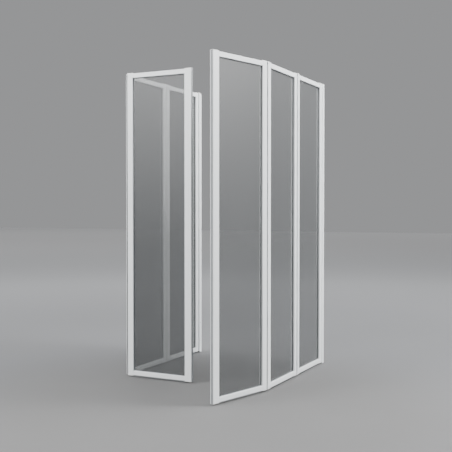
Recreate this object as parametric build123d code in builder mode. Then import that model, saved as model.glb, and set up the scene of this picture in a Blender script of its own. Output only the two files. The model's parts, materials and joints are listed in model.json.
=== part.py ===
"""Fold-away framed shower enclosure that stands in a U against one wall.

Two mirrored wings hang on two wall profiles. Each wing is a chain of three glazed
panels: a rear panel, a side panel and a door. Full-height knuckle hinges on long
steel pins join them. The wall and door hinges lie on the inner side of the panels
and the middle hinge on the outer side, so that the chain folds flat on the wall.

Frame: +Z up, the wall is the plane Y = 0 and the enclosure stands towards -Y. The
origin is the foot of the left wall profile, on its centre line. Millimetres.
"""
import os
from math import cos, radians, sin

from build123d import *

os.makedirs("parts", exist_ok=True)

# Whole enclosure
width = 1000.0
height = 1950.0
left_door_swing = 90.0
right_door_swing = 15.0

# Aluminium frame profiles
frame_depth = 25.0
frame_wall = 2.0
edge_chamfer = 1.0
stile_width = 40.0
closing_stile_width = 46.0
rail_height = 28.0
floor_gap = 8.0
rail_step = 2.0

# Glazing
glass_thickness = 4.0
groove_width = 8.0
groove_depth = 12.0
glass_engagement = 10.0
gasket_wrap = 1.5
gasket_lip = 3.0

# Hinges
axis_offset = 3.0
axis_gap = 2.0
pin_radius = 2.5
pin_clearance = 0.09
barrel_radius = 5.5
barrel_clearance = 0.5
knuckle_count = 3
knuckle_gap = 0.5
pin_head_radius = 5.5
pin_head_height = 6.0
pin_head_edge = 1.0
fold_clearance = 0.5

# Wall profile and the adjusting jamb that slides in it
channel_depth = 30.0
channel_wall = 1.8
jamb_start = 6.0
jamb_reach = 38.0
slide_clearance = 0.2
wall_hole_radius = 2.75
wall_hole_count = 4
wall_hole_end = 72.0
jamb_screw_count = 2
jamb_screw_end = 222.0
jamb_screw_set_back = 12.0
screw_radius = 2.0
screw_clearance = 0.1
screw_length = 9.0
screw_head_radius = 3.8
screw_head_height = 2.0

# End caps, seals and magnet strips
cap_thickness = 2.0
cap_inset = 0.5
spigot_depth = 8.0
spigot_clearance = 0.15
magnet_width = 14.0
magnet_seat = 3.0
magnet_proud = 3.0
centre_gap = 1.0
seal_width = 14.0
seal_body = 5.0
seal_fin = 2.0
seal_floor_gap = 2.0

# Places that follow from the sizes above
inner_face = width / 2 - frame_depth
middle_x = inner_face + frame_depth / 2
axis_x = inner_face - axis_offset
wall_axis = jamb_reach + axis_gap
panel_pitch = axis_x - barrel_radius - fold_clearance
middle_axis = wall_axis + panel_pitch
door_axis = middle_axis + panel_pitch
projection = door_axis + axis_offset + frame_depth
door_end = axis_x - centre_gap
stile_low = floor_gap + cap_thickness
stile_high = height - pin_head_height
rail_low = stile_low + rail_step
rail_high = stile_high - rail_step
glass_low = rail_low + rail_height - glass_engagement
glass_high = rail_high - rail_height + glass_engagement
bore_radius = pin_radius + pin_clearance
relief_radius = barrel_radius + barrel_clearance
knuckle_pitch = (stile_high - stile_low) / knuckle_count
wall_hole_pitch = (stile_high - 2 * wall_hole_end) / (wall_hole_count - 1)
jamb_screw_pitch = (stile_high - 2 * jamb_screw_end) / (jamb_screw_count - 1)

INNER = -axis_offset
OUTER = frame_depth + axis_offset
UP = (0, 0, 1)


def panel_plane(side, origin_x, origin_y, swing):
    """Plane on the floor at a panel's inner face.

    Its x runs along the panel, which is turned inwards by `swing` degrees from
    straight out of the wall. Across the panel, outwards is y times `side`.
    """
    along = (-side * sin(radians(swing)), -cos(radians(swing)), 0)
    return Plane(origin=(origin_x, origin_y, 0), x_dir=along, z_dir=UP)


def section_plane(plane, along):
    """Upright plane square to a panel, at a distance along it. Its x runs across, its y up."""
    return Plane(
        origin=plane.from_local_coords((along, 0, 0)), x_dir=plane.y_dir, z_dir=plane.x_dir
    )


def pane_plane(plane, side):
    """Upright plane in the middle of a panel's depth. Its x runs along the panel, its y up."""
    return Plane(
        origin=plane.from_local_coords((0, side * frame_depth / 2, 0)),
        x_dir=plane.x_dir,
        z_dir=-plane.y_dir,
    )


def knuckle_starts(first):
    """Heights where every other hinge segment starts, from segment `first` on."""
    return [stile_low + knuckle_pitch * k for k in range(first, knuckle_count, 2)]


def cut_knuckles(plane, axis, first):
    """Inside a part: clear the other leaf's barrels, add this leaf's own and bore them."""
    for start in knuckle_starts(1 - first):
        with BuildSketch(plane.offset(start - knuckle_gap / 2)) as relief:
            with Locations(axis):
                Circle(relief_radius)
        extrude(relief.sketch, amount=knuckle_pitch + knuckle_gap, mode=Mode.SUBTRACT)
    for start in knuckle_starts(first):
        with BuildSketch(plane.offset(start + knuckle_gap / 2)) as barrel:
            with Locations(axis):
                Circle(barrel_radius)
        extrude(barrel.sketch, amount=knuckle_pitch - knuckle_gap)
    with BuildSketch(plane.offset(stile_low)) as bore:
        with Locations(axis):
            Circle(bore_radius)
    extrude(bore.sketch, amount=stile_high - stile_low, mode=Mode.SUBTRACT)


def stile(plane, side, edge, into, breadth, axis=None, first=0, end_slot=0.0):
    """Hollow upright with a glazing groove. `into` is the way from its edge to the glass."""
    middle = side * frame_depth / 2
    hollow_from = end_slot + frame_wall
    hollow_to = breadth - groove_depth - frame_wall
    with BuildPart() as upright:
        with BuildSketch(plane.offset(stile_low)) as section:
            with Locations((edge + into * breadth / 2, middle)):
                Rectangle(breadth, frame_depth)
            chamfer(section.vertices(), edge_chamfer)
            with Locations((edge + into * (breadth - groove_depth / 2), middle)):
                Rectangle(groove_depth, groove_width, mode=Mode.SUBTRACT)
            with Locations((edge + into * (hollow_from + hollow_to) / 2, middle)):
                Rectangle(
                    hollow_to - hollow_from, frame_depth - 2 * frame_wall, mode=Mode.SUBTRACT
                )
            if end_slot:
                with Locations((edge + into * end_slot / 2, middle)):
                    Rectangle(end_slot, magnet_width, mode=Mode.SUBTRACT)
        extrude(amount=stile_high - stile_low)
        if axis:
            cut_knuckles(plane, axis, first)
    return upright.part


def rails(plane, side, start, end):
    """Bottom and top rails, which butt between the stiles with their grooves to the glass."""
    middle = side * frame_depth / 2
    hollow_height = rail_height - groove_depth - 2 * frame_wall
    with BuildPart() as pair:
        for low, glass_side in ((rail_low, 1), (rail_high - rail_height, -1)):
            centre = low + rail_height / 2
            groove_centre = centre + glass_side * (rail_height - groove_depth) / 2
            hollow_centre = centre - glass_side * groove_depth / 2
            with BuildSketch(section_plane(plane, start)) as section:
                with Locations((middle, centre)):
                    Rectangle(frame_depth, rail_height)
                chamfer(section.vertices(), edge_chamfer)
                with Locations((middle, groove_centre)):
                    Rectangle(groove_width, groove_depth, mode=Mode.SUBTRACT)
                with Locations((middle, hollow_centre)):
                    Rectangle(
                        frame_depth - 2 * frame_wall, hollow_height, mode=Mode.SUBTRACT
                    )
            extrude(amount=end - start)
    return pair.part


def pane(plane, side, start, end):
    """Toughened glass pane, set into the grooves all round."""
    length = end - start + 2 * glass_engagement
    with BuildPart() as sheet:
        with BuildSketch(pane_plane(plane, side)):
            with Locations(((start + end) / 2, (glass_low + glass_high) / 2)):
                Rectangle(length, glass_high - glass_low)
        extrude(amount=glass_thickness / 2, both=True)
    return sheet.part


def gasket(plane, side, start, end):
    """Glazing gasket that wraps the pane's edge and shows as a lip inside the frame."""
    centre = ((start + end) / 2, (glass_low + glass_high) / 2)
    length = end - start + 2 * glass_engagement
    rise = glass_high - glass_low
    show = glass_engagement + gasket_lip
    with BuildPart() as ring:
        with BuildSketch(pane_plane(plane, side)):
            with Locations(centre):
                Rectangle(length + 2 * gasket_wrap, rise + 2 * gasket_wrap)
                Rectangle(length - 2 * show, rise - 2 * show, mode=Mode.SUBTRACT)
        extrude(amount=groove_width / 2, both=True)
        with BuildSketch(pane_plane(plane, side)):
            with Locations(centre):
                Rectangle(length, rise)
        extrude(amount=glass_thickness / 2, both=True, mode=Mode.SUBTRACT)
    return ring.part


def drip_seal(plane, side, start, end):
    """Soft strip under the bottom rail, with a thin fin that stops just above the floor."""
    middle = side * frame_depth / 2
    fin_height = rail_low - seal_body - seal_floor_gap
    with BuildPart() as strip:
        with BuildSketch(section_plane(plane, start)):
            with Locations((middle, rail_low - seal_body / 2)):
                Rectangle(seal_width, seal_body)
            with Locations((middle, seal_floor_gap + fin_height / 2)):
                Rectangle(seal_fin, fin_height)
        extrude(amount=end - start)
    return strip.part


def stile_caps(plane, side, uprights):
    """Plastic plugs in the open ends of a panel's two stiles, cut round the pin heads.

    Each upright is (edge, into, breadth, axis, end_slot), as its stile was made.
    """
    middle = side * frame_depth / 2
    with BuildPart() as plugs:
        for edge, into, breadth, axis, end_slot in uprights:
            hollow_from = end_slot + frame_wall + spigot_clearance
            hollow_to = breadth - groove_depth - frame_wall - spigot_clearance
            for plate_low, spigot_low, head in (
                (floor_gap, stile_low, None),
                (stile_high, stile_high - spigot_depth, axis),
            ):
                with BuildSketch(plane.offset(plate_low)):
                    with Locations((edge + into * breadth / 2, middle)):
                        Rectangle(breadth - 2 * cap_inset, frame_depth - 2 * cap_inset)
                    if head:
                        with Locations(head):
                            Circle(pin_head_radius + barrel_clearance, mode=Mode.SUBTRACT)
                extrude(amount=cap_thickness)
                with BuildSketch(plane.offset(spigot_low)):
                    with Locations((edge + into * (hollow_from + hollow_to) / 2, middle)):
                        Rectangle(
                            hollow_to - hollow_from,
                            frame_depth - 2 * frame_wall - 2 * spigot_clearance,
                        )
                extrude(amount=spigot_depth)
    return plugs.part


def hinge_pin(plane, axis):
    """Long steel pin through all the knuckles of a hinge, with a head above the frame."""
    with BuildPart() as pin:
        with BuildSketch(plane.offset(stile_low)):
            with Locations(axis):
                Circle(pin_radius)
        extrude(amount=stile_high - stile_low)
        with BuildSketch(plane.offset(stile_high)):
            with Locations(axis):
                Circle(pin_head_radius)
        extrude(amount=pin_head_height)
        chamfer(pin.edges().group_by(Axis.Z)[-1], pin_head_edge)
    return pin.part


def wall_channel(plane, side):
    """U-shaped wall profile, with holes in its web for the screws into the wall."""
    middle = side * frame_depth / 2
    slot = frame_depth + 2 * slide_clearance
    with BuildPart() as channel:
        with BuildSketch(plane):
            with Locations((channel_depth / 2, middle)):
                Rectangle(channel_depth, slot + 2 * channel_wall)
            with Locations(((channel_wall + channel_depth) / 2, middle)):
                Rectangle(channel_depth - channel_wall, slot, mode=Mode.SUBTRACT)
        extrude(amount=stile_high)
        with BuildSketch(section_plane(plane, 0)):
            with Locations((middle, stile_high / 2)):
                with GridLocations(0, wall_hole_pitch, 1, wall_hole_count):
                    Circle(wall_hole_radius)
        extrude(amount=channel_wall, mode=Mode.SUBTRACT)
        with BuildSketch(jamb_screw_plane(plane, side)):
            with GridLocations(0, jamb_screw_pitch, 1, jamb_screw_count):
                Circle(screw_radius + screw_clearance)
        extrude(amount=channel_wall, mode=Mode.SUBTRACT)
    return channel.part


def jamb_screw_plane(plane, side):
    """Upright plane on the inner cheek of the wall profile. Its z points outwards."""
    cheek = slide_clearance + channel_wall
    return Plane(
        origin=plane.from_local_coords(
            (channel_depth - jamb_screw_set_back, -side * cheek, stile_high / 2)
        ),
        x_dir=plane.x_dir * -side,
        z_dir=plane.y_dir * side,
    )


def wall_jamb(plane, side, axis):
    """Adjusting profile that slides in the wall profile and carries the wall hinge."""
    middle = side * frame_depth / 2
    with BuildPart() as jamb:
        with BuildSketch(plane.offset(stile_low)) as section:
            with Locations(((jamb_start + jamb_reach) / 2, middle)):
                Rectangle(jamb_reach - jamb_start, frame_depth)
            chamfer(section.vertices(), edge_chamfer)
            with Locations(((jamb_start + jamb_reach) / 2 - frame_wall, middle)):
                Rectangle(
                    jamb_reach - jamb_start, frame_depth - 2 * frame_wall, mode=Mode.SUBTRACT
                )
        extrude(amount=stile_high - stile_low)
        cut_knuckles(plane, axis, 0)
        with BuildSketch(jamb_screw_plane(plane, side)):
            with GridLocations(0, jamb_screw_pitch, 1, jamb_screw_count):
                Circle(screw_radius + screw_clearance)
        extrude(amount=channel_wall + slide_clearance + frame_wall, mode=Mode.SUBTRACT)
    return jamb.part


def jamb_screws(plane, side):
    """Pan-head screws that lock the jamb in the wall profile from inside the shower."""
    with BuildPart() as screws:
        with BuildSketch(jamb_screw_plane(plane, side)):
            with GridLocations(0, jamb_screw_pitch, 1, jamb_screw_count):
                Circle(screw_radius)
        extrude(amount=screw_length)
        with BuildSketch(jamb_screw_plane(plane, side)):
            with GridLocations(0, jamb_screw_pitch, 1, jamb_screw_count):
                Circle(screw_head_radius)
        extrude(amount=-screw_head_height)
    return screws.part


def wall_cap(plane, side, axis):
    """Plug on top of the wall profile and its jamb, cut round the head of the hinge pin."""
    middle = side * frame_depth / 2
    slot = frame_depth - 2 * frame_wall - 2 * spigot_clearance
    breadth = frame_depth + 2 * (slide_clearance + channel_wall - cap_inset)
    with BuildPart() as plug:
        with BuildSketch(plane.offset(stile_high)):
            with Locations(((channel_depth - cap_inset) / 2, middle)):
                Rectangle(channel_depth - cap_inset, breadth)
            with Locations(((channel_depth + jamb_reach) / 2 - cap_inset, middle)):
                Rectangle(jamb_reach - channel_depth, frame_depth - 2 * cap_inset)
            with Locations(axis):
                Circle(pin_head_radius + barrel_clearance, mode=Mode.SUBTRACT)
        extrude(amount=cap_thickness)
        with BuildSketch(plane.offset(stile_high - spigot_depth)):
            with Locations(((jamb_start + channel_depth) / 2, middle)):
                Rectangle(channel_depth - jamb_start - 2 * frame_wall, slot)
        extrude(amount=spigot_depth)
    return plug.part


def magnet_strip(plane, side, end):
    """Magnetic closing strip in the slot of a door's closing stile."""
    with BuildPart() as strip:
        with BuildSketch(plane.offset(stile_low)):
            with Locations((end - (magnet_seat + magnet_proud) / 2, side * frame_depth / 2)):
                Rectangle(magnet_seat + magnet_proud, magnet_width)
        extrude(amount=stile_high - stile_low)
    return strip.part


def save(name, part):
    """Label a finished piece and write it as its own file."""
    part.label = name
    export_step(part, f"parts/{name}.step")


def glazing(name, plane, side, start, end):
    """Rails, pane, gasket and drip seal between a panel's two stiles."""
    save(f"{name}_rails", rails(plane, side, start, end))
    save(f"{name}_glass", pane(plane, side, start, end))
    save(f"{name}_gasket", gasket(plane, side, start, end))
    save(f"{name}_drip_seal", drip_seal(plane, side, start, end))


def fixed_length_panel(name, plane, side, start_axis, end_axis):
    """Rear or side panel: hinged at both ends, with the next panel's pin in its far stile."""
    near = axis_gap
    far = panel_pitch - axis_gap
    near_axis = (0, side * start_axis)
    far_axis = (panel_pitch, side * end_axis)
    save(f"{name}_hinge_stile", stile(plane, side, near, 1, stile_width, near_axis, 1))
    save(f"{name}_far_stile", stile(plane, side, far, -1, stile_width, far_axis, 0))
    uprights = [
        (near, 1, stile_width, near_axis, 0.0),
        (far, -1, stile_width, far_axis, 0.0),
    ]
    save(f"{name}_caps", stile_caps(plane, side, uprights))
    save(f"{name}_hinge_pin", hinge_pin(plane, far_axis))
    glazing(name, plane, side, near + stile_width, far - stile_width)


def door_panel(name, plane, side):
    """Door: hinged at its near stile, with a magnet strip in its closing stile."""
    near = axis_gap
    far = door_end - magnet_proud
    near_axis = (0, side * INNER)
    save(f"{name}_hinge_stile", stile(plane, side, near, 1, stile_width, near_axis, 1))
    closing = stile(plane, side, far, -1, closing_stile_width, end_slot=magnet_seat)
    save(f"{name}_closing_stile", closing)
    uprights = [
        (near, 1, stile_width, near_axis, 0.0),
        (far, -1, closing_stile_width, None, magnet_seat),
    ]
    save(f"{name}_caps", stile_caps(plane, side, uprights))
    save(f"{name}_magnet", magnet_strip(plane, side, door_end))
    glazing(name, plane, side, near + stile_width, far - closing_stile_width)


for wing, side, swing in (("left", -1, left_door_swing), ("right", 1, right_door_swing)):
    face_x = middle_x + side * inner_face

    wall = panel_plane(side, face_x, 0, 0)
    wall_axis_point = (wall_axis, side * INNER)
    save(f"{wing}_wall_channel", wall_channel(wall, side))
    save(f"{wing}_wall_jamb", wall_jamb(wall, side, wall_axis_point))
    save(f"{wing}_wall_cap", wall_cap(wall, side, wall_axis_point))
    save(f"{wing}_jamb_screws", jamb_screws(wall, side))
    save(f"{wing}_wall_pin", hinge_pin(wall, wall_axis_point))

    rear = panel_plane(side, face_x, -wall_axis, 0)
    fixed_length_panel(f"{wing}_rear", rear, side, INNER, OUTER)

    flank = panel_plane(side, face_x, -middle_axis, 0)
    fixed_length_panel(f"{wing}_side", flank, side, OUTER, INNER)

    hinge = panel_plane(side, middle_x + side * axis_x, -door_axis, swing)
    door_face = hinge.from_local_coords((0, side * axis_offset, 0))
    door = panel_plane(side, door_face.X, door_face.Y, swing)
    door_panel(f"{wing}_door", door, side)

print(f"panel pitch {panel_pitch:.1f}, projection {projection:.1f}, door end {door_end:.1f}")
print(f"hinge axes at {wall_axis:.1f}, {middle_axis:.1f} and {door_axis:.1f} from the wall")
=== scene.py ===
# %% [markdown]
# # A fold-away shower enclosure, dressed for the camera
#
# The construction is already settled in CAD: two wings of framed glass panels, hinged to each
# other and to two wall profiles. This script loads that model as a fixed frame and gives it
# what the CAD leaves out: powder coat, tinted glass, rubber, nylon, and the small screws and
# washers that hold the real thing together.

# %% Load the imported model
import json
import math

import bmesh
import bpy
from mathutils import Matrix, Vector


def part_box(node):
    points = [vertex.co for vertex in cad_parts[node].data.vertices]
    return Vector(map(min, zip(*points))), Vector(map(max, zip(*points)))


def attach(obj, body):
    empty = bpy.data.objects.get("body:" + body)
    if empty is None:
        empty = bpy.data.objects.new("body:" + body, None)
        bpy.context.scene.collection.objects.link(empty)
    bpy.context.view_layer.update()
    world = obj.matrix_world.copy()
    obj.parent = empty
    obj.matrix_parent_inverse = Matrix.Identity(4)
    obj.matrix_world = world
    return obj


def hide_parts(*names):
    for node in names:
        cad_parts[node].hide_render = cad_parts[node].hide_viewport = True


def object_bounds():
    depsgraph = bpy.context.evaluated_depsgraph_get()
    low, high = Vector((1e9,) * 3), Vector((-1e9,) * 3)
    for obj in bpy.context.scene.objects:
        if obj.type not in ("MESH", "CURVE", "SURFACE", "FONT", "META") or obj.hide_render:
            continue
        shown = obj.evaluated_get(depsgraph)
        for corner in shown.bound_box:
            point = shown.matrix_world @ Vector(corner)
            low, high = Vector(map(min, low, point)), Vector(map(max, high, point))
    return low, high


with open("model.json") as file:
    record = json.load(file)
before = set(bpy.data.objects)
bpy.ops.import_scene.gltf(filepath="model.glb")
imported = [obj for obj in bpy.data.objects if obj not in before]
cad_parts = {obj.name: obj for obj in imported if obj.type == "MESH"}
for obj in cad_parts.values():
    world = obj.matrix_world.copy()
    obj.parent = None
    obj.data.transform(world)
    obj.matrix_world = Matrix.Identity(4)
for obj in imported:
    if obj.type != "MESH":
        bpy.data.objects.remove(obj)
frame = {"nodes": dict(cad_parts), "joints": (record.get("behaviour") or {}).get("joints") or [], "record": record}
cad_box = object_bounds()
nodes = frame["nodes"]
MM = 0.001

# %% [markdown]
# ## Where each panel stands
#
# Every panel turns about a pin, so the pins are the natural place to measure from. A small
# matrix for each panel turns its own directions, along the panel, outwards and up, into the
# directions of the room. The right door stands open, and its angle is read from its joint.

# %% Panel frames
FRAME_DEPTH = 25.0 * MM
AXIS_OFFSET = 3.0 * MM
AXIS_GAP = 2.0 * MM
WINGS = {"left": -1, "right": 1}
joints = {joint["name"]: joint for joint in frame["joints"]}
UP = Vector((0, 0, 1))


def panel_matrix(origin, swing, side):
    """Local x runs along the panel, y outwards from its inner face, z up."""
    angle = math.radians(swing)
    along = Vector((-side * math.sin(angle), -math.cos(angle), 0))
    outwards = UP.cross(along) * side
    matrix = Matrix((along, outwards, UP)).transposed().to_4x4()
    matrix.translation = Vector(origin)
    return matrix


panels = {}
for wing, side in WINGS.items():
    wall_pin = Vector(joints[f"{wing}_fold"]["pos_m"])
    middle_pin = Vector(joints[f"{wing}_mid_fold"]["pos_m"])
    door_pin = Vector(joints[f"{wing}_door_swing"]["pos_m"])
    inwards = Vector((side * AXIS_OFFSET, 0, 0))
    panels[f"{wing}_rear"] = panel_matrix(wall_pin + inwards, 0, side)
    inner_middle = Vector((wall_pin.x, middle_pin.y, 0)) + inwards
    panels[f"{wing}_side"] = panel_matrix(inner_middle, 0, side)
    swing = -joints[f"{wing}_door_swing"]["range_deg"][0]
    door = panel_matrix(door_pin, swing, side)
    panels[f"{wing}_door"] = door @ Matrix.Translation((0, AXIS_OFFSET, 0))
panel_pitch = abs(middle_pin.y - wall_pin.y)
door_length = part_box("left_door_magnet")[1].x - joints["left_door_swing"]["pos_m"][0]
stile_low, stile_high = (corner.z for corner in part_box("left_rear_hinge_stile"))
print(f"panel pitch {panel_pitch:.3f} m, stiles from {stile_low:.3f} to {stile_high:.3f} m")

# %% [markdown]
# ## Tools of the trade
#
# Colours are written as the hex values that a screen shows. Blender computes in linear light,
# so one function converts them. A second small function adds a shader node, sets it up and
# plugs it in, so that a material below reads like a recipe.

# %% Colour and node helpers


def screen_colour(text):
    """Linear RGBA of an sRGB hex value such as "f2f3f1"."""
    channels = [int(text[i:i + 2], 16) / 255 for i in (0, 2, 4)]
    linear = [c / 12.92 if c <= 0.04045 else ((c + 0.055) / 1.055) ** 2.4 for c in channels]
    return (*linear, 1.0)


def add_node(tree, kind, settings=None, inputs=None):
    """Adds a node. An input is a value, or another node's output socket to link."""
    made = tree.nodes.new(kind)
    for name, value in (settings or {}).items():
        setattr(made, name, value)
    for name, value in (inputs or {}).items():
        if isinstance(value, bpy.types.NodeSocket):
            tree.links.new(value, made.inputs[name])
        else:
            made.inputs[name].default_value = value
    return made


def new_material(name):
    """An empty material with its tree, shader and object coordinates."""
    material = bpy.data.materials.new(name)
    material.use_nodes = True
    tree = material.node_tree
    tree.nodes.clear()
    shader = add_node(tree, "ShaderNodeBsdfPrincipled")
    add_node(tree, "ShaderNodeOutputMaterial", inputs={"Surface": shader.outputs["BSDF"]})
    place = add_node(tree, "ShaderNodeTexCoord").outputs["Object"]
    return material, tree, shader, place


def noise(tree, place, size, detail=2.0):
    """Noise whose blotches are about `size` metres across, as a 0 to 1 value."""
    made = add_node(
        tree, "ShaderNodeTexNoise", inputs={"Vector": place, "Scale": 1 / size, "Detail": detail}
    )
    return made.outputs["Fac"]


def blend_colours(tree, factor, first, second):
    """Colour between two hex colours."""
    made = add_node(
        tree,
        "ShaderNodeMix",
        {"data_type": "RGBA"},
        {"Factor": factor, 6: screen_colour(first), 7: screen_colour(second)},
    )
    return made.outputs[2]


def between(tree, value, low, high):
    """Maps a 0 to 1 value to a range."""
    made = add_node(
        tree, "ShaderNodeMapRange", inputs={"Value": value, "To Min": low, "To Max": high}
    )
    return made.outputs["Result"]


def bump(tree, shader, height, depth, strength=1.0):
    """Raises the surface by `depth` metres where `height` is 1."""
    made = add_node(
        tree,
        "ShaderNodeBump",
        inputs={"Height": height, "Distance": depth, "Strength": strength},
    )
    tree.links.new(made.outputs["Normal"], shader.inputs["Normal"])


def set_shader(shader, **values):
    """Sets constants on the shader's own sockets."""
    for name, value in values.items():
        shader.inputs[name.replace("_", " ")].default_value = value


print("hex 808080 in linear light:", [round(c, 3) for c in screen_colour("808080")[:3]])

# %% [markdown]
# ## Floor
#
# The product stands on a plain studio floor, one large plane written out corner by corner. It
# is mid grey near the object and paler far away, like a paper sweep that catches more light at
# the back. A painted image could do that. Here the colour depends on the distance from a point
# in front of the enclosure, which is easier to read and to change: each stage mixes in its
# colour from its first distance to its last, in metres.

# %% Floor
FLOOR_SIZE = 60.0
FLOOR_DROP = 1.0 * MM
FLOOR_CENTRE = (0.9, -1.6, 0.0)
FLOOR_PATCH = 0.4
FLOOR_ROUGHNESS = 0.7
FLOOR_STAGES = ((0.8, 2.2, "6a6b6d"), (3.0, 8.0, "8b8c8e"), (9.0, 34.0, "fdfdfd"))
floor_mesh = bpy.data.meshes.new("floor")
half_floor = FLOOR_SIZE / 2
corners = [(x * half_floor, y * half_floor, -FLOOR_DROP) for x, y in
           ((-1, -1), (1, -1), (1, 1), (-1, 1))]
floor_mesh.from_pydata(corners, [], [(0, 1, 2, 3)])
floor = bpy.data.objects.new("floor", floor_mesh)
bpy.context.scene.collection.objects.link(floor)
print(f"floor of {FLOOR_SIZE:.0f} m, {FLOOR_DROP / MM:.0f} mm under the feet")

# %% Floor paint
floor_paint, tree, shader, place = new_material("studio_floor")
speckle = noise(tree, place, FLOOR_PATCH)
tint = blend_colours(tree, speckle, "626262", "666666")
away = add_node(
    tree, "ShaderNodeVectorMath", {"operation": "DISTANCE"}, {0: place, 1: FLOOR_CENTRE}
)
for start, end, colour in FLOOR_STAGES:
    fade = add_node(
        tree,
        "ShaderNodeMapRange",
        {"interpolation_type": "SMOOTHSTEP"},
        {"Value": away.outputs["Value"], "From Min": start, "From Max": end},
    )
    tint = add_node(
        tree,
        "ShaderNodeMix",
        {"data_type": "RGBA"},
        {"Factor": fade.outputs["Result"], 6: tint, 7: screen_colour(colour)},
    ).outputs[2]
tree.links.new(tint, shader.inputs["Base Color"])
set_shader(shader, Roughness=FLOOR_ROUGHNESS)
floor_mesh.materials.append(floor_paint)
print("floor colours:", ", ".join(colour for _, _, colour in FLOOR_STAGES))

# %% [markdown]
# ## Camera
#
# The camera was placed by fitting the tops and feet of the uprights to the photograph. It is
# about 5 m from the middle of the object, a little above waist height, with a short telephoto
# lens, and looks almost level. A camera aimed by eye would give a likely view, but its upright
# lines would lean in another way than those of the photograph.

# %% Camera
CAMERA_PLACE = (2.853, -5.232, 1.080)
CAMERA_YAW = 26.70
CAMERA_PITCH = -1.25
LENS = 62.7
SENSOR = 36.0
camera_data = bpy.data.cameras.new("photo_camera")
camera_data.lens = LENS
camera_data.sensor_width = SENSOR
camera = bpy.data.objects.new("photo_camera", camera_data)
camera.location = CAMERA_PLACE
camera.rotation_euler = (math.radians(90 + CAMERA_PITCH), 0, math.radians(CAMERA_YAW))
bpy.context.scene.collection.objects.link(camera)
bpy.context.scene.camera = camera
middle = (cad_box[0] + cad_box[1]) / 2
print(f"lens {LENS} mm, {(camera.location - middle).length:.1f} m from the middle")

# %% [markdown]
# ## Softboxes
#
# White frames and grey glass show mostly what they reflect, so the lights are tall softboxes.
# Each is brightest at its top and fades downwards and to its sides, and the panes show that as
# a slow fall from pale to dark. An evenly lit area light would leave hard-edged rectangles in
# them. The Parametric output says where a point lies on the lamp, from 0 to 1 both ways.

# %% A lamp in the room


def hang(name, data, place):
    """Links a lamp that lights and is reflected, but that the camera doesn't see."""
    lamp = bpy.data.objects.new(name, data)
    lamp.location = place
    lamp.visible_camera = False
    bpy.context.scene.collection.objects.link(lamp)
    return lamp


print("lamps are hidden from the camera")

# %% Softboxes
ROOM_CENTRE = Vector((0.49, -0.6, 2.9))
SOFTBOX_HEIGHT = 6.6
TOP_STRENGTH = 2.0
MIDDLE_STRENGTH = 1.5
SIDE_EDGE = 0.5
SIDE_FULL = 0.15
# Name, place, width, power in watts, and how steeply the light fades downwards.
SOFTBOXES = (
    ("key_softbox", (5.6, 0.9, 3.5), 4.5, 1500.0, 2.0),
    ("front_softbox", (-2.3, -5.2, 3.5), 4.5, 910.0, 1.6),
    ("rear_softbox", (3.07, 3.09, 3.5), 2.4, 215.0, 2.0),
)


def fading_strength(tree, steepness):
    """Emission that grows upwards as a power, and fades smoothly to both sides."""
    across = add_node(tree, "ShaderNodeNewGeometry").outputs["Parametric"]
    split = add_node(tree, "ShaderNodeSeparateXYZ", inputs={"Vector": across})
    rise = add_node(
        tree, "ShaderNodeMath", {"operation": "POWER"}, {0: split.outputs["Y"], 1: steepness}
    )
    upwards = between(tree, rise.outputs[0], 0.0, TOP_STRENGTH)
    off_centre = add_node(
        tree, "ShaderNodeMath", {"operation": "SUBTRACT"}, {0: split.outputs["X"], 1: SIDE_EDGE}
    )
    aside = add_node(
        tree, "ShaderNodeMath", {"operation": "ABSOLUTE"}, {0: off_centre.outputs[0]}
    )
    sideways = add_node(
        tree,
        "ShaderNodeMapRange",
        {"interpolation_type": "SMOOTHSTEP"},
        {
            "Value": aside.outputs[0],
            "From Min": SIDE_EDGE,
            "From Max": SIDE_FULL,
            "To Max": MIDDLE_STRENGTH,
        },
    )
    both = add_node(
        tree,
        "ShaderNodeMath",
        {"operation": "MULTIPLY"},
        {0: upwards, 1: sideways.outputs["Result"]},
    )
    return both.outputs[0]


def soft_light(name, place, width, power, steepness):
    """A tall area light that faces the enclosure."""
    data = bpy.data.lights.new(name, "AREA")
    data.shape = "RECTANGLE"
    data.size = width
    data.size_y = SOFTBOX_HEIGHT
    data.energy = power
    data.use_nodes = True
    tree = data.node_tree
    strength = fading_strength(tree, steepness)
    tree.links.new(strength, tree.nodes["Emission"].inputs["Strength"])
    lamp = hang(name, data, place)
    lamp.rotation_euler = (ROOM_CENTRE - Vector(place)).to_track_quat("-Z", "Y").to_euler()


for softbox in SOFTBOXES:
    soft_light(*softbox)
print(len(SOFTBOXES), "softboxes of", SOFTBOX_HEIGHT, "m")

# %% [markdown]
# ## Ceiling light and world
#
# A wide, dim light over everything evens out the floor, as the lamps under a studio ceiling do.
# The world adds a little pale light from all round, so that no side of a frame goes black. The
# world alone would light the scene evenly, with shadows too faint to show where things stand.

# %% Ceiling and world
CEILING_SIZE = 26.0
CEILING_HEIGHT = 10.0
CEILING_POWER = 3400.0
WORLD_STRENGTH = 0.52
ceiling = bpy.data.lights.new("ceiling_bank", "AREA")
ceiling.size = CEILING_SIZE
ceiling.energy = CEILING_POWER
hang("ceiling_bank", ceiling, (ROOM_CENTRE.x, ROOM_CENTRE.y, CEILING_HEIGHT))
world = bpy.data.worlds.new("studio")
bpy.context.scene.world = world
world.use_nodes = True
background = world.node_tree.nodes["Background"]
background.inputs["Color"].default_value = screen_colour("cfd0d2")
background.inputs["Strength"].default_value = WORLD_STRENGTH
print(f"a ceiling light of {CEILING_SIZE:.0f} m and a pale world")

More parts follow.
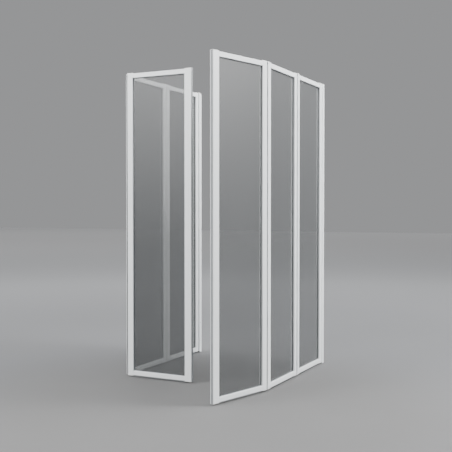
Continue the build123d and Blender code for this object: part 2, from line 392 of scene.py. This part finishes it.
# %% [markdown]
# ## Powder-coated aluminium
#
# The profiles are extruded aluminium with a baked polyester powder coat. Up close such a coat
# has a faint orange peel, waves a millimetre or two wide, which softens its reflections. It is
# not a metal to the eye: the coat is a satin plastic skin. Two noise textures do both jobs, a
# wide one for the slight change of shade and a fine one for the peel, because an image would
# have to be fitted to every profile.

# %% Powder coat
ORANGE_PEEL = 2.0 * MM
PEEL_DEPTH = 0.03 * MM
PEEL_STRENGTH = 0.5
COAT_PATCH = 0.25
COAT_ROUGHNESS = (0.34, 0.44)
COAT_IOR = 1.5
powder_coat, tree, shader, place = new_material("white_powder_coat")
patches = noise(tree, place, COAT_PATCH)
tree.links.new(blend_colours(tree, patches, "eaeeef", "f1f4f5"), shader.inputs["Base Color"])
peel = noise(tree, place, ORANGE_PEEL)
tree.links.new(between(tree, peel, *COAT_ROUGHNESS), shader.inputs["Roughness"])
bump(tree, shader, peel, PEEL_DEPTH, PEEL_STRENGTH)
set_shader(shader, IOR=COAT_IOR)
print("powder coat with", ORANGE_PEEL / MM, "mm orange peel")

# %% [markdown]
# ## Moulded plastic, nylon and rubber
#
# The plugs in the ends of the profiles are moulded plastic, a shade warmer than the coat and
# finely grained. The glazing gasket is grey EPDM rubber, matt with a little bloom. The seal in
# the hinge gaps is nearly black, as painted shade for the narrow gaps. The drip seal and the
# sleeve of the magnet strip are soft grey PVC. They differ in shade, grain and gloss only, so one
# function makes them all.

# %% Plastics and rubbers
PATCH_GRAINS = 30
GRAIN_FLATNESS = 20
GRAIN_STRENGTH = 0.4
ROUGHNESS_SPREAD = 0.06


def moulded(name, dark, light, grain, rough):
    """A fine-grained moulding: two shades in soft patches over a grain in metres."""
    material, tree, shader, place = new_material(name)
    shade = noise(tree, place, PATCH_GRAINS * grain)
    tree.links.new(blend_colours(tree, shade, dark, light), shader.inputs["Base Color"])
    texture = noise(tree, place, grain)
    gloss = between(tree, texture, rough - ROUGHNESS_SPREAD, rough + ROUGHNESS_SPREAD)
    tree.links.new(gloss, shader.inputs["Roughness"])
    bump(tree, shader, texture, grain / GRAIN_FLATNESS, GRAIN_STRENGTH)
    return material


cap_plastic = moulded("moulded_abs_caps", "e2e2df", "eaeae7", 0.8 * MM, 0.5)
washer_nylon = moulded("nylon_washers", "dcdcd6", "e6e6e0", 0.6 * MM, 0.45)
gasket_rubber = moulded("epdm_gasket", "64676a", "707376", 1.0 * MM, 0.7)
# Near black as painted shade: this colour stands in for the shade inside the hinge gaps.
gap_rubber_painted_shade = moulded("epdm_gap_seal_painted_shade", "1c1d1e", "262728", 1.0 * MM, 0.8)
seal_pvc = moulded("soft_pvc_seal", "9b9ea0", "a9acad", 1.0 * MM, 0.45)
magnet_pvc = moulded("magnet_strip_sleeve", "8a8d90", "979a9c", 1.0 * MM, 0.5)
print("six moulded finishes")

# %% [markdown]
# ## Stainless steel
#
# Pins and screws are drawn stainless steel. The drawing leaves fine lines along the pin, so the
# roughness varies in streaks that are long in z and narrow across: noise whose coordinates
# are squeezed in z. Real grooves would need far more faces than such small parts deserve.

# %% Stainless steel
STREAK = 0.6 * MM
STREAK_SQUEEZE = (1, 1, 0.03)
STEEL_ROUGHNESS = (0.22, 0.36)
steel, tree, shader, place = new_material("drawn_stainless")
stretch = add_node(
    tree, "ShaderNodeMapping", inputs={"Vector": place, "Scale": STREAK_SQUEEZE}
)
streaks = noise(tree, stretch.outputs["Vector"], STREAK)
tree.links.new(blend_colours(tree, streaks, "b4b6b8", "c9cbcc"), shader.inputs["Base Color"])
tree.links.new(between(tree, streaks, *STEEL_ROUGHNESS), shader.inputs["Roughness"])
set_shader(shader, Metallic=1.0)
print("steel with", round(STREAK / MM, 1), "mm streaks")

# %% [markdown]
# ## Grey tinted safety glass
#
# The panes are 4 mm toughened glass with a grey body tint: clear enough to see through, dark
# enough to read as grey in front of a pale wall. Refracting glass would be truer, but thin
# panes hardly bend the view, and a ray here may cross several of them. So each face of a pane
# is part cover and part clear, and the shader's gloss gives the reflections. A dried film of lime
# and soap is assumed: it makes the gloss soft and uneven in patches as wide as a hand, veils
# what is behind it, and reflects a little more than bare glass would.

# %% Glass
LIME_PATCH = 0.12
LIME_DETAIL = 3.0
GLASS_COVER = 0.50
GLASS_ROUGHNESS = (0.30, 0.36)
GLASS_IOR = 1.52
FILM_GLOSS = 0.65
glass, tree, shader, place = new_material("grey_float_glass")
film = noise(tree, place, LIME_PATCH, LIME_DETAIL)
tree.links.new(between(tree, film, *GLASS_ROUGHNESS), shader.inputs["Roughness"])
tree.links.new(blend_colours(tree, film, "4f5152", "555758"), shader.inputs["Base Color"])
set_shader(shader, IOR=GLASS_IOR, Alpha=GLASS_COVER, Specular_IOR_Level=FILM_GLOSS)
print("a pane lets", round((1 - GLASS_COVER) ** 2, 2), "of the light straight through")

# %% [markdown]
# ## Dressing the CAD nodes
#
# A CAD node whose shape is right keeps it and only gets the finish of its material slot. The
# record says which slot each node has, so one loop dresses them all.

# %% Finish for each slot
FINISHES = {
    "frame": powder_coat,
    "caps": cap_plastic,
    "gasket": gasket_rubber,
    "seal": seal_pvc,
    "magnet": magnet_pvc,
    "steel": steel,
    "glass": glass,
}
for subpart in frame["record"]["subparts"]:
    mesh = nodes[subpart["node"]].data
    mesh.materials.clear()
    mesh.materials.append(FINISHES[subpart["material_slot"]])
print("finishes:", ", ".join(sorted(FINISHES)))

# %% [markdown]
# ## Rows of small parts
#
# Screws and washers repeat at even steps. A Geometry Nodes tree takes one of them and sets it
# out in a row: a line of points, the part instanced on each, the instances made real and given
# their material. The tree has named inputs, so the same one sets out every row.

# %% A tree that sets out a row


def row_tree():
    """Geometry Nodes group: instances its input on a line of points."""
    tree = bpy.data.node_groups.new("row_of_parts", "GeometryNodeTree")
    face = tree.interface
    face.new_socket("Geometry", in_out="INPUT", socket_type="NodeSocketGeometry")
    face.new_socket("Count", in_out="INPUT", socket_type="NodeSocketInt")
    face.new_socket("Start", in_out="INPUT", socket_type="NodeSocketVector")
    face.new_socket("Step", in_out="INPUT", socket_type="NodeSocketVector")
    face.new_socket("Material", in_out="INPUT", socket_type="NodeSocketMaterial")
    face.new_socket("Geometry", in_out="OUTPUT", socket_type="NodeSocketGeometry")
    given = add_node(tree, "NodeGroupInput").outputs
    line = add_node(
        tree,
        "GeometryNodeMeshLine",
        inputs={
            "Count": given["Count"],
            "Start Location": given["Start"],
            "Offset": given["Step"],
        },
    )
    placed = add_node(
        tree,
        "GeometryNodeInstanceOnPoints",
        inputs={"Points": line.outputs["Mesh"], "Instance": given["Geometry"]},
    )
    real = add_node(
        tree, "GeometryNodeRealizeInstances", inputs={"Geometry": placed.outputs["Instances"]}
    )
    painted = add_node(
        tree,
        "GeometryNodeSetMaterial",
        inputs={"Geometry": real.outputs["Geometry"], "Material": given["Material"]},
    )
    add_node(tree, "NodeGroupOutput", inputs={"Geometry": painted.outputs["Geometry"]})
    return tree


ROW = row_tree()
print("inputs:", [item.name for item in ROW.interface.items_tree])

# %% From tree to plain mesh


def set_out_row(part_mesh, material, count, start, step):
    """Plain mesh of `count` copies of a part, from `start` in steps of `step`."""
    carrier = bpy.data.objects.new("row_carrier", part_mesh)
    bpy.context.scene.collection.objects.link(carrier)
    modifier = carrier.modifiers.new("row", "NODES")
    modifier.node_group = ROW
    keys = {item.name: item.identifier for item in ROW.interface.items_tree
            if item.in_out == "INPUT"}
    modifier[keys["Count"]] = count
    modifier[keys["Start"]] = tuple(start)
    modifier[keys["Step"]] = tuple(step)
    modifier[keys["Material"]] = material
    graph = bpy.context.evaluated_depsgraph_get()
    mesh = bpy.data.meshes.new_from_object(carrier.evaluated_get(graph), depsgraph=graph)
    bpy.data.objects.remove(carrier)
    return mesh


def join_meshes(name, meshes, material):
    """One object at the origin from several meshes, in metres."""
    whole = bmesh.new()
    for mesh in meshes:
        whole.from_mesh(mesh)
    mesh = bpy.data.meshes.new(name)
    whole.to_mesh(mesh)
    whole.free()
    mesh.materials.clear()
    mesh.materials.append(material)
    made = bpy.data.objects.new(name, mesh)
    bpy.context.scene.collection.objects.link(made)
    return made


print("rows become plain meshes, one object for each body")

# %% [markdown]
# ## Turned parts
#
# A washer, a pin and a screw head are round, so their meshes are turned like work on a lathe:
# a half outline goes round an axis. A Screw modifier does the same, and a short loop shows
# how. Edges sharper than SHARP_ANGLE stay crisp and the rest is shaded smooth.

# %% Lathe
LATHE_STEPS = 20
SHARP_ANGLE = 40


def turned(name, outline, closed):
    """Mesh of an outline of (radius, height) points turned about local z."""
    mesh_data = bmesh.new()
    rings = []
    for radius, height in outline:
        if radius == 0:
            rings.append([mesh_data.verts.new((0, 0, height))])
            continue
        ring = []
        for step in range(LATHE_STEPS):
            angle = 2 * math.pi * step / LATHE_STEPS
            ring.append(
                mesh_data.verts.new((radius * math.cos(angle), radius * math.sin(angle), height))
            )
        rings.append(ring)
    pairs = list(zip(rings, rings[1:]))
    if closed:
        pairs.append((rings[-1], rings[0]))
    for lower, upper in pairs:
        for step in range(LATHE_STEPS):
            after = (step + 1) % LATHE_STEPS
            loop = [lower[step % len(lower)], lower[after % len(lower)],
                    upper[after % len(upper)], upper[step % len(upper)]]
            corners = list(dict.fromkeys(loop))
            if len(corners) > 2:
                mesh_data.faces.new(corners)
    bmesh.ops.recalc_face_normals(mesh_data, faces=mesh_data.faces)
    mesh = bpy.data.meshes.new(name)
    mesh_data.to_mesh(mesh)
    mesh_data.free()
    mesh.shade_smooth()
    mesh.set_sharp_from_angle(angle=math.radians(SHARP_ANGLE))
    return mesh


print("lathe with", LATHE_STEPS, "steps")

# %% Washer
WASHER_BORE = 2.75 * MM
WASHER_RADIUS = 5.3 * MM
WASHER_THICKNESS = 0.4 * MM
WASHER_OUTLINE = [
    (WASHER_BORE, 0), (WASHER_RADIUS, 0),
    (WASHER_RADIUS, WASHER_THICKNESS), (WASHER_BORE, WASHER_THICKNESS),
]
washer = turned("washer", WASHER_OUTLINE, True)
print("washer:", len(washer.polygons), "faces")

# %% [markdown]
# ## Screws with a cross recess
#
# The recess in a screw head is pressed in with a tapered cross, so a Boolean modifier cuts it
# with one: two wedges at right angles, narrower below. Its mesh is kept and the tool removed.

# %% Cross recess
CROSS_LENGTH = 4.2 * MM
CROSS_WIDTH = 1.0 * MM
CROSS_DEPTH = 1.1 * MM
CROSS_TAPER = 0.55


def cross_cutter(top):
    """Two crossed wedges that taper downwards, standing a little above `top`."""
    tool = bmesh.new()
    for across in (0, 1):
        size = (CROSS_LENGTH, CROSS_WIDTH) if across == 0 else (CROSS_WIDTH, CROSS_LENGTH)
        made = bmesh.ops.create_cube(tool, size=1.0)["verts"]
        for vert in made:
            narrow = CROSS_TAPER if vert.co.z < 0 else 1.0
            vert.co.x *= size[0] * narrow
            vert.co.y *= size[1] * narrow
            vert.co.z = top - CROSS_DEPTH if vert.co.z < 0 else top + CROSS_DEPTH
    mesh = bpy.data.meshes.new("cross")
    tool.to_mesh(mesh)
    tool.free()
    return mesh


def crossed_screw(name, outline, top):
    """A turned screw with a cross cut into its head."""
    body = bpy.data.objects.new(name, turned(name, outline, False))
    cutter = bpy.data.objects.new("cutter", cross_cutter(top))
    for piece in (body, cutter):
        bpy.context.scene.collection.objects.link(piece)
    cut = body.modifiers.new("cross", "BOOLEAN")
    cut.operation = "DIFFERENCE"
    cut.object = cutter
    cut.use_self = True
    graph = bpy.context.evaluated_depsgraph_get()
    mesh = bpy.data.meshes.new_from_object(body.evaluated_get(graph), depsgraph=graph)
    bpy.data.objects.remove(body)
    bpy.data.objects.remove(cutter)
    return mesh


print("cross of", round(CROSS_LENGTH / MM, 1), "mm")

# %% Pan-head and flush screws
HEAD_RADIUS = 3.8 * MM
HEAD_HEIGHT = 2.0 * MM
SHANK_RADIUS = 2.0 * MM
SHANK_LENGTH = 9.0 * MM
PAN_HEAD = [
    (0, -SHANK_LENGTH), (0.4 * SHANK_RADIUS, -SHANK_LENGTH),
    (SHANK_RADIUS, -0.8 * SHANK_LENGTH), (SHANK_RADIUS, 0),
    (HEAD_RADIUS, 0), (HEAD_RADIUS, 0.45 * HEAD_HEIGHT),
    (0.9 * HEAD_RADIUS, 0.8 * HEAD_HEIGHT), (0.65 * HEAD_RADIUS, HEAD_HEIGHT), (0, HEAD_HEIGHT),
]
pan_screw = crossed_screw("pan_screw", PAN_HEAD, HEAD_HEIGHT)
FLUSH_RADIUS = 3.4 * MM
FLUSH_RISE = 0.25 * MM
FLUSH_RIM = 0.3 * MM
FLUSH_DEPTH = 3 * MM
FLUSH_SHANK = 1.6 * MM
FLUSH_HEAD = [
    (0, -FLUSH_DEPTH), (FLUSH_SHANK, -FLUSH_DEPTH), (FLUSH_RADIUS, -FLUSH_RIM),
    (FLUSH_RADIUS, 0), (0.93 * FLUSH_RADIUS, FLUSH_RISE), (0, FLUSH_RISE),
]
flush_screw = crossed_screw("flush_screw", FLUSH_HEAD, FLUSH_RISE)
print("screws:", len(pan_screw.polygons), "and", len(flush_screw.polygons), "faces")

# %% [markdown]
# ## Screws that lock the jambs
#
# Inside the shower, two pan-head screws in each wall profile lock the sliding jamb once it
# has been set to the wall. They take the place of the plain screws of the CAD model.

# %% Jamb screws
JAMB_SCREW_COUNT = 2
for wing, side in WINGS.items():
    low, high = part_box(f"{wing}_jamb_screws")
    out_of_wall = Vector((-side, 0, 0))
    head_x = (low.x if side > 0 else high.x) - out_of_wall.x * HEAD_HEIGHT
    turn = out_of_wall.to_track_quat("Z", "Y").to_matrix().to_4x4()
    turned_screw = pan_screw.copy()
    turned_screw.transform(turn)
    first = Vector((head_x, (low.y + high.y) / 2, low.z + HEAD_RADIUS))
    step = Vector((0, 0, high.z - low.z - 2 * HEAD_RADIUS))
    row = set_out_row(turned_screw, steel, JAMB_SCREW_COUNT, first, step)
    screws = join_meshes(f"{wing}_jamb_pan_screws", [row], steel)
    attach(screws, "wall_profiles")
    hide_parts(f"{wing}_jamb_screws")
    print(wing, "jamb screws", round(step.z, 3), "m apart")

# %% [markdown]
# ## Screws in the frame corners
#
# Each rail is held by two countersunk screws that go through the stile's edge into the rail's
# hollow. They sit flush in the narrow face, where the hinge gap shows them when a panel turns.
# Those in a panel's far stile lie under the seal that is glued there, and are left out. The
# left wing's matrices mirror, which turns a mesh inside out, so its normals are flipped back.

# %% Corner screws
CORNER_COUNT = 2
CORNER_PITCH = 12.0 * MM
RAIL_HEIGHT = 28.0 * MM
RAIL_STEP = 2.0 * MM
near_edge = AXIS_GAP
far_edge = panel_pitch - AXIS_GAP
rail_middles = (
    stile_low + RAIL_STEP + RAIL_HEIGHT / 2,
    stile_high - RAIL_STEP - RAIL_HEIGHT / 2,
)


def corner_screws(name, body):
    """Two flush screws at each end of a panel's hinge stile, riding on its body."""
    facing = Vector((-1, 0, 0)).to_track_quat("Z", "Y").to_matrix().to_4x4()
    screw = flush_screw.copy()
    screw.transform(facing)
    rows = []
    for middle in rail_middles:
        start = (near_edge, FRAME_DEPTH / 2, middle - CORNER_PITCH / 2)
        row = set_out_row(screw, steel, CORNER_COUNT, start, (0, 0, CORNER_PITCH))
        row.transform(panels[name])
        rows.append(row)
    made = join_meshes(f"{name}_corner_screws", rows, steel)
    if panels[name].determinant() < 0:
        made.data.flip_normals()
    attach(made, body)


BODIES = {"rear": "rear_panel", "side": "side_panel", "door": "door"}
for name in panels:
    wing, panel = name.split("_")
    corner_screws(name, f"{wing}_{BODIES[panel]}")
print("corner screws on", len(panels), "panels")

# %% [markdown]
# ## Washers between the knuckles
#
# Thin nylon washers keep the painted knuckles apart on their pin, so that they turn without
# squeaking. They belong to the leaf that holds the pin.

# %% Knuckle washers
KNUCKLES = 3
KNUCKLE_PITCH = (stile_high - stile_low) / KNUCKLES
HINGES = {
    "fold": "wall_profiles",
    "mid_fold": "{wing}_rear_panel",
    "door_swing": "{wing}_side_panel",
}
for wing in WINGS:
    for hinge, holder in HINGES.items():
        axis = Vector(joints[f"{wing}_{hinge}"]["pos_m"])
        first = Vector((axis.x, axis.y, stile_low + KNUCKLE_PITCH - WASHER_THICKNESS / 2))
        row = set_out_row(washer, washer_nylon, KNUCKLES - 1, first, (0, 0, KNUCKLE_PITCH))
        made = join_meshes(f"{wing}_{hinge}_washers", [row], washer_nylon)
        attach(made, holder.format(wing=wing))
print("washers", round(KNUCKLE_PITCH, 3), "m apart")

# %% [markdown]
# ## Hinge pins and their caps
#
# A drawn stainless rod goes through all the knuckles of a hinge. On top it carries a moulded
# domed cap, which is the small pale knob above the frame in the photograph. Both are turned,
# and together they take the place of the CAD pin.

# %% Hinge pins
ROD_RADIUS = 2.5 * MM
CAP_RADIUS = 5.4 * MM
DOME_STEPS = 6
SKIRT_SHARE = 0.45
PINS = {"wall_pin": "wall_profiles", "rear_hinge_pin": "{wing}_rear_panel",
        "side_hinge_pin": "{wing}_side_panel"}


def dome(low, high, radius):
    """Outline of a cap with a straight skirt and an elliptical top."""
    skirt = low + SKIRT_SHARE * (high - low)
    outline = [(0, low), (radius, low)]
    for step in range(DOME_STEPS + 1):
        angle = math.pi / 2 * step / DOME_STEPS
        rise = skirt + (high - skirt) * math.sin(angle)
        outline.append((0 if step == DOME_STEPS else radius * math.cos(angle), rise))
    return outline


for wing in WINGS:
    for pin, holder in PINS.items():
        low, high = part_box(f"{wing}_{pin}")
        to_axis = Matrix.Translation(((low.x + high.x) / 2, (low.y + high.y) / 2, 0))
        rod_outline = [
            (0, low.z), (ROD_RADIUS, low.z), (ROD_RADIUS, stile_high), (0, stile_high)
        ]
        rod = turned("rod", rod_outline, False)
        cap = turned("cap", dome(stile_high, high.z, CAP_RADIUS), False)
        for piece, mesh, finish, slot in (("rod", rod, steel, "steel"),
                                          ("cap", cap, cap_plastic, "caps")):
            mesh.transform(to_axis)
            made = join_meshes(f"{wing}_{pin}_{piece}", [mesh], finish)
            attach(made, holder.format(wing=wing))
            if piece == "rod":
                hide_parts(f"{wing}_{pin}")
print("six pins,", round(stile_high - stile_low, 3), "m long under their caps")

# %% [markdown]
# ## Magnet strips
#
# Each closing stile holds a magnet strip: a soft sleeve with a rounded nose and a groove down
# its middle, where the magnet sits between two lips. The CAD strip is a plain bar, so a drawn
# outline pushed along the stile takes its place.

# %% Magnet strips
STRIP_WIDTH = 14.0 * MM
STRIP_DEPTH = 6.0 * MM
NOSE_RADIUS = 1.6 * MM
GROOVE_WIDTH = 3.0 * MM
GROOVE_DEPTH = 1.0 * MM
NOSE_STEPS = 5


def strip_outline():
    """Half a strip, from its back corner round the nose to the groove, then mirrored."""
    half = STRIP_WIDTH / 2
    points = [(-STRIP_DEPTH, half)]
    for step in range(NOSE_STEPS + 1):
        angle = math.pi / 2 * (1 - step / NOSE_STEPS)
        points.append((
            -NOSE_RADIUS + NOSE_RADIUS * math.cos(angle),
            half - NOSE_RADIUS + NOSE_RADIUS * math.sin(angle),
        ))
    points += [(0, GROOVE_WIDTH / 2), (-GROOVE_DEPTH, GROOVE_WIDTH / 2)]
    return points + [(x, -y) for x, y in reversed(points)]


def pushed(name, outline, low, high, matrix, material):
    """An outline in a panel's own plane, pushed up from low to high."""
    mesh_data = bmesh.new()
    rings = [[mesh_data.verts.new((x, y, z)) for x, y in outline] for z in (low, high)]
    count = len(outline)
    for step in range(count):
        after = (step + 1) % count
        mesh_data.faces.new(
            (rings[0][step], rings[0][after], rings[1][after], rings[1][step])
        )
    for ring in rings:
        mesh_data.faces.new(ring)
    bmesh.ops.transform(mesh_data, matrix=matrix, verts=mesh_data.verts)
    bmesh.ops.recalc_face_normals(mesh_data, faces=mesh_data.faces)
    mesh = bpy.data.meshes.new(name)
    mesh_data.to_mesh(mesh)
    mesh_data.free()
    mesh.materials.append(material)
    made = bpy.data.objects.new(name, mesh)
    bpy.context.scene.collection.objects.link(made)
    return made


for wing in WINGS:
    matrix = panels[f"{wing}_door"] @ Matrix.Translation((door_length, FRAME_DEPTH / 2, 0))
    strip = pushed(
        f"{wing}_magnet_seal", strip_outline(), stile_low, stile_high, matrix, magnet_pvc
    )
    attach(strip, f"{wing}_door")
    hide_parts(f"{wing}_door_magnet")
print("magnet strips", round(stile_high - stile_low, 3), "m long")

# %% [markdown]
# ## Seals in the hinge gaps
#
# Where two panels meet there is a gap of four millimetres, and it opens into a V as a panel
# turns. In the photograph it is the dark line beside the open door. A ribbed rubber strip lies
# in it, glued to the edge of one stile, so that it never touches the other one. The strip is
# coloured near black as painted shade: its colour stands in for the shade in the narrow gap.

# %% Hinge seals
SEAL_BASE = 0.8 * MM
RIB_HEIGHT = 0.9 * MM
RIB_WIDTH = 2.4 * MM
RIB_COUNT = 4
RIB_STEPS = 4
SEAL_START = 4.0 * MM
SEAL_PITCH = 4.3 * MM


def ribbed_outline():
    """Flat base with round ribs, in a panel's own plane, from the stile's edge outwards."""
    points = [(0, SEAL_START)]
    for rib in range(RIB_COUNT):
        centre = SEAL_START + SEAL_PITCH * (rib + 0.5)
        for step in range(RIB_STEPS + 1):
            angle = math.pi * step / RIB_STEPS
            points.append((
                SEAL_BASE + RIB_HEIGHT * math.sin(angle),
                centre - RIB_WIDTH / 2 * math.cos(angle),
            ))
    return points + [(0, SEAL_START + SEAL_PITCH * RIB_COUNT)]


for wing in WINGS:
    for panel in ("rear", "side"):
        matrix = panels[f"{wing}_{panel}"] @ Matrix.Translation((far_edge, 0, 0))
        # The strip's near-black colour is painted shade for the narrow gap.
        seal = pushed(
            f"{wing}_{panel}_gap_seal", ribbed_outline(), stile_low, stile_high, matrix,
            gap_rubber_painted_shade,
        )
        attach(seal, f"{wing}_{panel}_panel")
print("gap seals", round((SEAL_BASE + RIB_HEIGHT) / MM, 1), "mm thick in gaps of 4 mm")

# %% [markdown]
# ## Closing the lesson
#
# Dressing must not make the object bigger than the CAD model.

# %% Finish
print("dressing finished")
